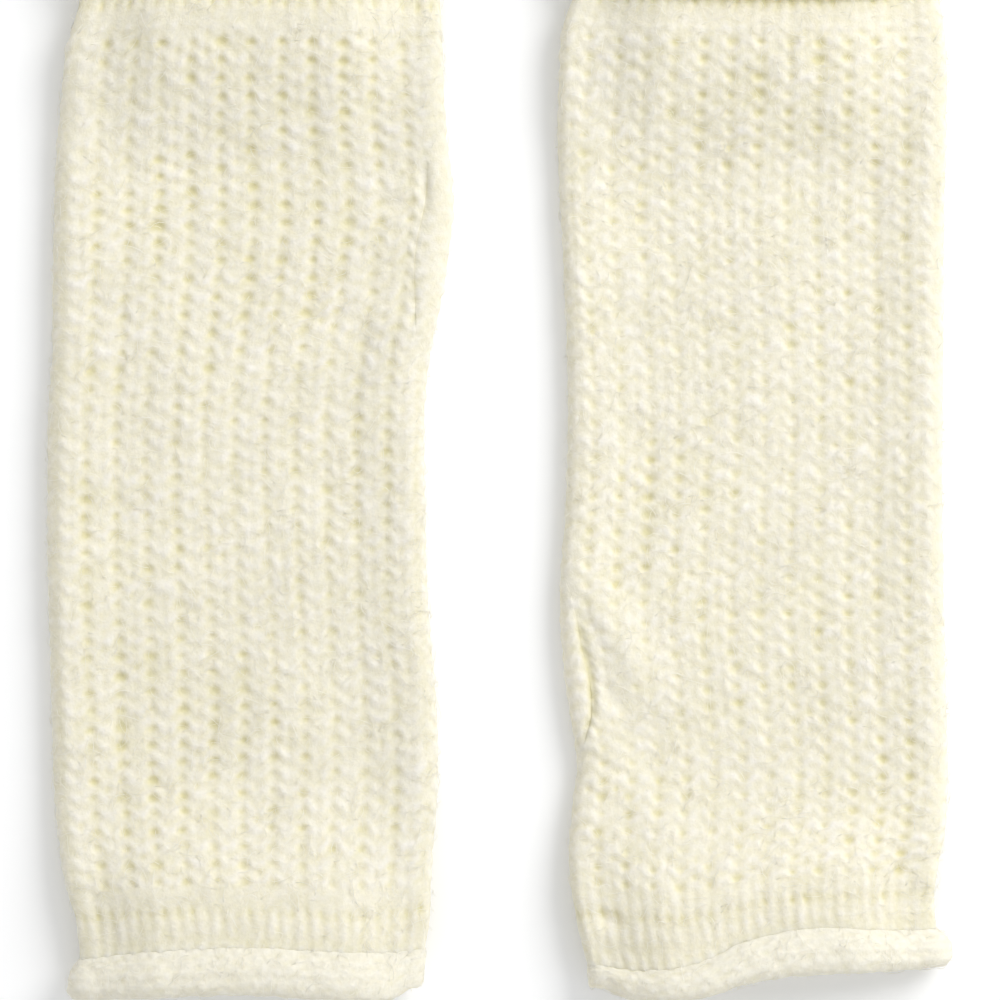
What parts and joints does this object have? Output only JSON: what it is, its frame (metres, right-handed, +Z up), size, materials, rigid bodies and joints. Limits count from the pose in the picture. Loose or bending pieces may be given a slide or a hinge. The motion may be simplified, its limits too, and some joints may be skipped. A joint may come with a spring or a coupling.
{
  "type": "pair of knitted wrist warmers",
  "caption": "Knitted fingerless wrist warmers laid flat: each a seamed tube with an open thumb slit and an outward-rolled edge round both mouths.",
  "frame": {"origin": "on the ground under the middle of the pair's bounding box", "axes": "+Z up from the ground, +Y along the warmers, from the mouths at the picture's bottom to those at its top, +X to the picture's right"},
  "size_m": [0.2126, 0.2482, 0.017],
  "materials": {
    "knit_panel": "fuzzy cream wool-blend half-cardigan knit",
    "knit_rolled_edge": "fuzzy cream stockinette, purl side out"
  },
  "bodies": {
    "root": {"left_front": "knit_panel", "left_back": "knit_panel", "left_roll_top": "knit_rolled_edge", "left_roll_bottom": "knit_rolled_edge", "right_front": "knit_panel", "right_back": "knit_panel", "right_roll_top": "knit_rolled_edge", "right_roll_bottom": "knit_rolled_edge"}
  },
  "joints": []
}
